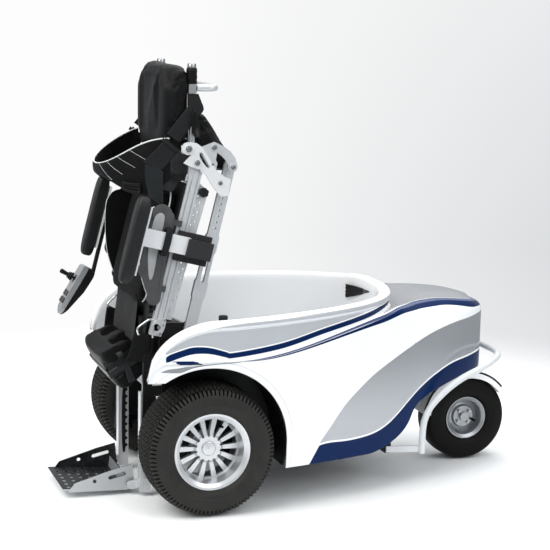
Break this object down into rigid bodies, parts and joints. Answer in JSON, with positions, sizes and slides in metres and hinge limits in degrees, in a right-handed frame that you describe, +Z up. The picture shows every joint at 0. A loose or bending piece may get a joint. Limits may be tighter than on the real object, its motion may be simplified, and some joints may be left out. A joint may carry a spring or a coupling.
{
  "type": "standing wheelchair",
  "caption": "Powered three-wheel off-road wheelchair whose seat frame, backrest and footrest rise to hold the sitter standing, with a moulded tub body, joystick and steered rear wheel.",
  "frame": {"origin": "on the ground in the middle of the footprint of the overall box", "axes": "+X to the chair's left side, -Y the way the chair drives and the sitter faces, +Z up"},
  "size_m": [0.8666, 1.5681, 1.355],
  "materials": {
    "body_white": "gloss white moulding",
    "deck_silver": "silver metallic lacquer on a moulding",
    "frame_paint": "black powder coat",
    "bar_paint": "light grey powder coat",
    "battery_case": "moulded case",
    "controller_case": "ribbed casting",
    "motor_case": "painted casting",
    "polished_steel": "polished",
    "black_fabric": "woven cover over foam",
    "tyre_rubber": "treaded rubber",
    "rim_silver": "silver lacquered",
    "anodised_aluminium": "anodised extrusion and sheet",
    "arm_paint": "silver powder coat",
    "grey_plastic": "grained",
    "black_plastic": "grained",
    "cover_silver": "silver lacquer",
    "boot_rubber": "moulded",
    "pad_vinyl": "grained vinyl over foam"
  },
  "bodies": {
    "chassis": {"chassis_frame": "frame_paint", "side_shell_left": "body_white", "side_shell_right": "body_white", "tub_rim": "body_white", "rear_deck": "deck_silver", "tub_floor": "body_white", "wheel_well_left": "body_white", "wheel_well_right": "body_white", "bumper_bar": "bar_paint", "battery_pair": "battery_case", "motor_controller": "controller_case", "drive_motor_left": "motor_case", "drive_motor_right": "motor_case", "lift_gearmotor": "motor_case", "guide_rods": "polished_steel", "knee_pad_bracket": "frame_paint", "knee_pad": "black_fabric"},
    "front_wheel_left": {"front_tyre_left": "tyre_rubber", "front_rim_left": "rim_silver", "hub_cap_left": "rim_silver"},
    "front_wheel_right": {"front_tyre_right": "tyre_rubber", "front_rim_right": "rim_silver", "hub_cap_right": "rim_silver"},
    "steering_fork": {"rear_fork": "frame_paint", "rear_mudguard": "body_white"},
    "rear_wheel": {"rear_tyre": "tyre_rubber", "rear_rim": "rim_silver", "rear_lug_bolts": "polished_steel"},
    "seat_frame": {"seat_rail_left": "anodised_aluminium", "seat_rail_right": "anodised_aluminium", "knee_shaft": "polished_steel", "seat_board": "frame_paint", "seat_cushion": "black_fabric", "side_guard_left": "grey_plastic", "side_guard_right": "grey_plastic", "arm_clamps": "black_plastic", "rail_knobs": "black_plastic"},
    "belt": {"hip_belt": "black_fabric"},
    "links": {"rear_links": "anodised_aluminium"},
    "back_frame": {"back_brackets": "arm_paint", "back_arms": "anodised_aluminium", "back_tubes": "polished_steel", "push_bar": "anodised_aluminium", "back_cushion": "black_fabric", "pelvis_pad": "black_fabric"},
    "arm_left": {"arm_bracket_left": "arm_paint", "arm_pad_left": "pad_vinyl"},
    "arm_right": {"arm_bracket_right": "arm_paint", "arm_pad_right": "pad_vinyl", "joystick_base": "black_plastic", "joystick_cover": "cover_silver"},
    "gimbal": {"joystick_gimbal": "polished_steel"},
    "stick": {"joystick_stick": "black_plastic", "joystick_boot": "boot_rubber"},
    "power_button": {"power_key": "grey_plastic"},
    "speed_up_button": {"speed_up_key": "grey_plastic"},
    "speed_down_button": {"speed_down_key": "grey_plastic"},
    "horn_button": {"horn_key": "grey_plastic"},
    "foot_slide": {"foot_columns": "anodised_aluminium"},
    "foot_tray": {"footplate": "anodised_aluminium"}
  },
  "joints": [
    {"name": "front_wheel_left_spin", "type": "hinge", "parent": "chassis", "child": "front_wheel_left", "pos_m": [0.338, -0.3905, 0.203], "axis": [1, 0, 0], "continuous": true},
    {"name": "front_wheel_right_spin", "type": "hinge", "parent": "chassis", "child": "front_wheel_right", "pos_m": [-0.338, -0.3905, 0.203], "axis": [1, 0, 0], "continuous": true},
    {"name": "rear_steer", "type": "hinge", "parent": "chassis", "child": "steering_fork", "pos_m": [0, 0.6275, 0.33], "axis": [0, 0, 1], "range_deg": [-50, 50]},
    {"name": "rear_wheel_spin", "type": "hinge", "parent": "steering_fork", "child": "rear_wheel", "pos_m": [0, 0.6275, 0.147], "axis": [1, 0, 0], "continuous": true},
    {"name": "stand_lift", "type": "hinge", "parent": "chassis", "child": "seat_frame", "pos_m": [0, -0.5205, 0.556], "axis": [-1, 0, 0], "range_deg": [0, 76]},
    {"name": "link_swing", "type": "hinge", "parent": "chassis", "child": "links", "pos_m": [0, -0.4045, 0.54], "axis": [-1, 0, 0], "range_deg": [0, 76]},
    {"name": "back_level", "type": "hinge", "parent": "seat_frame", "child": "back_frame", "pos_m": [0, -0.39911, 1.06163], "axis": [-1, 0, 0], "range_deg": [-76, 0]},
    {"name": "belt_swing", "type": "hinge", "parent": "seat_frame", "child": "belt", "pos_m": [0, -0.4605, 1.014], "axis": [-1, 0, 0], "range_deg": [-38, 0]},
    {"name": "arm_left_fold", "type": "hinge", "parent": "seat_frame", "child": "arm_left", "pos_m": [0.257, -0.39308, 0.79425], "axis": [-1, 0, 0], "range_deg": [0, 90]},
    {"name": "arm_right_fold", "type": "hinge", "parent": "seat_frame", "child": "arm_right", "pos_m": [-0.257, -0.39308, 0.79425], "axis": [-1, 0, 0], "range_deg": [0, 90]},
    {"name": "stick_pitch", "type": "hinge", "parent": "arm_right", "child": "gimbal", "pos_m": [-0.275, -0.65582, 0.61952], "axis": [1, 0, 0], "range_deg": [-18, 18], "stiffness_Nm_per_rad": 0.12},
    {"name": "stick_roll", "type": "hinge", "parent": "gimbal", "child": "stick", "pos_m": [-0.275, -0.65582, 0.61952], "axis": [0, 0.515, 0.8572], "range_deg": [-18, 18], "stiffness_Nm_per_rad": 0.12},
    {"name": "power_press", "type": "slide", "parent": "arm_right", "child": "power_button", "axis": [0, 0.8572, -0.515], "range_m": [0, 0.0015], "stiffness_N_per_m": 600},
    {"name": "speed_up_press", "type": "slide", "parent": "arm_right", "child": "speed_up_button", "axis": [0, 0.8572, -0.515], "range_m": [0, 0.0015], "stiffness_N_per_m": 600},
    {"name": "speed_down_press", "type": "slide", "parent": "arm_right", "child": "speed_down_button", "axis": [0, 0.8572, -0.515], "range_m": [0, 0.0015], "stiffness_N_per_m": 600},
    {"name": "horn_press", "type": "slide", "parent": "arm_right", "child": "horn_button", "axis": [0, 0.8572, -0.515], "range_m": [0, 0.0015], "stiffness_N_per_m": 600},
    {"name": "foot_slide_travel", "type": "slide", "parent": "chassis", "child": "foot_slide", "axis": [0, 0, 1], "range_m": [0, 0.09]},
    {"name": "foot_tray_fold", "type": "hinge", "parent": "foot_slide", "child": "foot_tray", "pos_m": [0, -0.5765, 0.034], "axis": [-1, 0, 0], "range_deg": [0, 80]}
  ],
  "couplings": [
    {"joint": "link_swing", "follows": "stand_lift", "ratio": 1},
    {"joint": "back_level", "follows": "stand_lift", "ratio": -1},
    {"joint": "belt_swing", "follows": "stand_lift", "ratio": -0.5},
    {"joint": "foot_slide_travel", "follows": "stand_lift", "m_per_rad": 0.0678}
  ]
}
